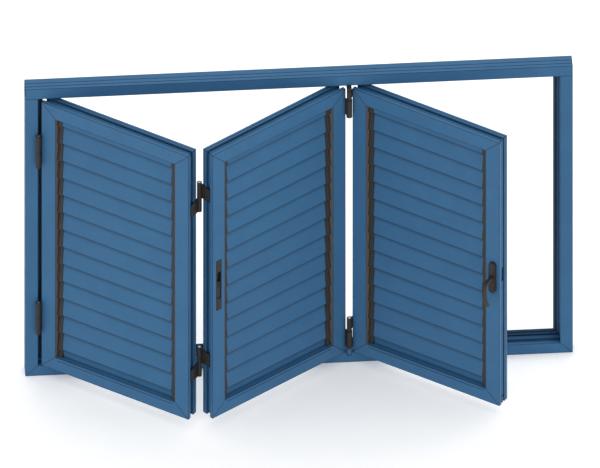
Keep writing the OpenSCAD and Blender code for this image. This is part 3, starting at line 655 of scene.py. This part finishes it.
class SHUTTER_OT_lever(bpy.types.Operator):
    """Make the cast lever: a round neck that flows into a bowed oval grip"""

    bl_idname = "shutter.lever"
    bl_label = "Lever Handle"

    def execute(self, context):
        turn = joint("handle_turn")
        origin = Vector(turn["pos_m"])
        inward = Vector(turn["axis"]).normalized()
        across = Vector((inward.y, -inward.x, 0))
        mesh = bmesh.new()
        rings = [lever_ring(mesh, *ring, origin, across, inward) for ring in lever_rings()]
        close_tube(mesh, rings)
        spindle_box(mesh, origin, across, inward)
        new_piece("handle_lever_cast", closed_mesh(mesh, "lever"), "handle", "dark_hardware", ["handle_lever"])
        return {"FINISHED"}


def lever_rings():
    """Centres (depth, height), directions, widths and thicknesses along the lever, in metres."""
    # all in mm: depth from the rosette (outwards is less than 0), height, width and thickness.
    # the neck is level, round and slightly waisted behind its collar
    places = [(-0.5, 0, 15.6, 15.6), (-9.4, 0, 15.6, 15.6), (-10, 0, 14.4, 14.4), (-18, 0, 13.2, 13.2),
              (-30, 0, 13.6, 12.6), (-40, 0.4, 14.6, 12)]
    # the elbow turns down into the grip
    elbow_radius, elbow_steps, elbow_turn = 9, 6, 82
    elbow_depth, elbow_height = -40.6, 0.4 - elbow_radius
    for k in range(1, elbow_steps + 1):
        angle = math.radians(elbow_turn * k / elbow_steps)
        places.append((elbow_depth - elbow_radius * math.sin(angle),
                       elbow_height + elbow_radius * math.cos(angle),
                       14.8 + 0.2 * k, 12 - 0.3 * k))
    # the grip follows a wide arc that bows outwards and swells a little at its middle
    grip_radius, grip_steps, grip_start, grip_turn = 141, 22, -4.4, 37.0 - 8.2 + 4.4
    middle = (-51.5 + grip_radius, -20)
    for k in range(grip_steps + 1):
        angle = math.radians(grip_start + grip_turn * k / grip_steps)
        swell = math.sin(math.pi * k / grip_steps)
        places.append((middle[0] - grip_radius * math.cos(angle), middle[1] - grip_radius * math.sin(angle),
                       15.4 + 0.6 * swell, 10.2 - 0.6 * swell))
    # the tip rounds off
    tip_depth, tip_height, wide, thick = places[-1]
    tip_steps, tip_turn, tip_length = 4, 88, 3.6
    for k in range(1, tip_steps + 1):
        angle = math.radians(tip_turn * k / tip_steps)
        places.append((tip_depth + 0.5 * k, tip_height - tip_length * math.sin(angle),
                       wide * math.cos(angle), thick * math.cos(angle)))
    rings = []
    for k, (depth, height, wide, thick) in enumerate(places):
        before = places[max(k - 1, 0)]
        after = places[min(k + 1, len(places) - 1)]
        ahead = Vector((after[0] - before[0], after[1] - before[1])).normalized()
        rings.append(((depth * MM, height * MM), ahead, wide * MM, thick * MM))
    return rings


def lever_ring(mesh, centre, ahead, wide, thick, origin, across, inward, sides=28):
    """One ring across the lever's path: round where it is as wide as thick, else a flattened oval."""
    depth, height = centre
    normal = Vector((-ahead.y, ahead.x))
    power = 1.0 if abs(wide - thick) < 0.1 * MM else 0.8
    ring = []
    for k in range(sides):
        angle = 2 * math.pi * k / sides
        u, v = (math.copysign(abs(reach) ** power, reach) * size / 2
                for reach, size in ((math.cos(angle), wide), (math.sin(angle), thick)))
        place = origin + across * u + inward * (depth + normal.x * v) + UP * (height + normal.y * v)
        ring.append(mesh.verts.new(place))
    return ring


def spindle_box(mesh, origin, across, inward):
    """The square spindle that goes into the lock."""
    half, length = 3.5 * MM, 33 * MM
    corners = []
    for depth in (-2 * MM, length):
        for u, h in ((-half, -half), (half, -half), (half, half), (-half, half)):
            corners.append(mesh.verts.new(origin + across * u + inward * depth + UP * h))
    for face in ((0, 1, 2, 3), (7, 6, 5, 4), (0, 4, 5, 1), (1, 5, 6, 2), (2, 6, 7, 3), (3, 7, 4, 0)):
        mesh.faces.new([corners[k] for k in face])


class SHUTTER_OT_stage(bpy.types.Operator):
    """Lay the pale floor, set the soft lights and place the camera"""

    bl_idname = "shutter.stage"
    bl_label = "Stage"

    def execute(self, context):
        look = context.scene.shutter_look
        mesh = bpy.data.meshes.new("floor")
        half = 6.0
        corners = [(-half, -half, 0), (half, -half, 0), (half, half, 0), (-half, half, 0)]
        mesh.from_pydata(corners, [], [(0, 1, 2, 3)])
        mesh.materials.append(lit_floor())
        floor = bpy.data.objects.new("studio_floor", mesh)
        # a hair below the frame, so that the two faces don't fight
        floor.location.z = -0.5 * MM
        context.scene.collection.objects.link(floor)
        world = bpy.data.worlds.new("studio")
        world.use_nodes = True
        sky = world.node_tree.nodes["Background"]
        sky.inputs["Color"].default_value = (1, 1, 1, 1)
        sky.inputs["Strength"].default_value = look.sky
        context.scene.world = world
        lamps = (("key", (-2.2, -3.4, 3.6), 3.0, look.key),
                 ("fill", (3.2, -2.4, 2.2), 2.6, look.fill),
                 ("top", (0.2, 1.6, 4.0), 3.0, look.top))
        for name, place, size, power in lamps:
            light = bpy.data.lights.new(name, "AREA")
            light.size = size
            light.energy = power
            lamp = bpy.data.objects.new(name, light)
            lamp.location = place
            aim = Vector((0, 0, 0.5)) - lamp.location
            lamp.rotation_euler = aim.to_track_quat("-Z", "Y").to_euler()
            context.scene.collection.objects.link(lamp)
        context.scene.view_settings.view_transform = "Standard"
        camera = bpy.data.cameras.new("view")
        camera.type = "ORTHO"
        camera.ortho_scale = look.view_width
        camera.clip_end = 50
        eye = bpy.data.objects.new("view", camera)
        swing, rise = look.view_swing, look.view_rise
        back = Vector((math.sin(swing) * math.cos(rise), -math.cos(swing) * math.cos(rise), math.sin(rise)))
        right = Vector((math.cos(swing), math.sin(swing), 0))
        above = back.cross(right)
        corner = Vector((CAD_BOX[0][0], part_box("left_jamb")[0][1], 0))
        target = corner + right * look.view_right + above * look.view_above
        # an even view has no near or far, so this only has to clear the object
        eye.location = target + back * 4
        eye.rotation_euler = Matrix((right, above, back)).transposed().to_euler()
        context.scene.collection.objects.link(eye)
        context.scene.camera = eye
        return {"FINISHED"}


# ---------- settings and panel ----------
class ShutterLook(bpy.types.PropertyGroup):
    """Colours and sizes a user would change; lengths named in mm are plain numbers"""

    coat_colour: StringProperty(
        name="Coat", description="Powder coat colour, sRGB hex", default="#38658C")
    hardware_colour: StringProperty(
        name="Hardware", description="Hinge and handle colour, sRGB hex", default="#2B2725")
    holder_colour: StringProperty(
        name="Holders", description="Blade holder colour, sRGB hex", default="#231D1A")
    liner_colour: StringProperty(
        name="Liners", description="Liner strip colour, sRGB hex", default="#625C5A")
    joint_colour: StringProperty(
        name="Joints", description="Mitre sealant colour, sRGB hex", default="#142A42")
    # the reach of the painted shade in grooves
    groove_shade_reach: FloatProperty(
        name="Groove reach", description="Reach of the dust and shade in grooves, mm", default=5.0, min=1)
    louvre_reach: FloatProperty(
        name="Louvre reach", description="Reach of the shade under each louvre, mm", default=9.0, min=1)
    # these two set the width and tone of the painted shade line along every edge and crease
    edge_width: FloatProperty(
        name="Edge width", description="Width of the thin coat along corners, mm", default=3.0, min=0.1)
    edge_shade_depth: FloatProperty(
        name="Edge depth", description="Tone of the thin coat along corners", default=0.26, min=0, max=1)
    joint_width: FloatProperty(
        name="Joint width", description="Width of a sealed mitre line, mm", default=2.4, min=0.1)
    frame_face: FloatProperty(
        name="Frame face", description="Width of the frame's face, mm", default=38.0, min=10)
    sky: FloatProperty(
        name="Sky", description="Strength of the even light all round", default=1.0, min=0)
    key: FloatProperty(
        name="Key", description="Power of the key light", default=5.0, min=0, unit="POWER")
    fill: FloatProperty(
        name="Fill", description="Power of the fill light", default=10.0, min=0, unit="POWER")
    top: FloatProperty(
        name="Top", description="Power of the top light", default=16.0, min=0, unit="POWER")
    view_width: FloatProperty(
        name="View width", description="Width of the view", default=1.804, min=0.1, unit="LENGTH")
    view_swing: FloatProperty(
        name="View swing", description="Swing of the view to the right",
        default=math.radians(-4.03), unit="ROTATION")
    view_rise: FloatProperty(
        name="View rise", description="Rise of the view over level",
        default=math.radians(38.5), unit="ROTATION")
    view_right: FloatProperty(
        name="View right", description="The view's middle, right of the frame's lower left corner",
        default=0.8257, unit="LENGTH")
    view_above: FloatProperty(
        name="View above", description="The view's middle, above that corner",
        default=0.4276, unit="LENGTH")


class SHUTTER_PT_panel(bpy.types.Panel):
    """Lists the shutter's settings and the steps that make it"""

    bl_idname = "SHUTTER_PT_panel"
    bl_label = "Folding Shutter"
    bl_space_type = "VIEW_3D"
    bl_region_type = "UI"
    bl_category = "Shutter"

    def draw(self, context):
        for name in ShutterLook.__annotations__:
            self.layout.prop(context.scene.shutter_look, name)
        for step in STEPS:
            self.layout.operator(step.bl_idname)


STEPS = (SHUTTER_OT_coat, SHUTTER_OT_screws, SHUTTER_OT_seals, SHUTTER_OT_mitres, SHUTTER_OT_lever,
         SHUTTER_OT_stage)
CLASSES = (ShutterLook,) + STEPS + (SHUTTER_PT_panel,)


def register():
    for kind in CLASSES:
        bpy.utils.register_class(kind)
    bpy.types.Scene.shutter_look = PointerProperty(type=ShutterLook)


def unregister():
    del bpy.types.Scene.shutter_look
    for kind in reversed(CLASSES):
        bpy.utils.unregister_class(kind)


def main():
    register()
    for step in STEPS:
        family, action = step.bl_idname.split(".")
        getattr(getattr(bpy.ops, family), action)()


if __name__ == "__main__":
    main()
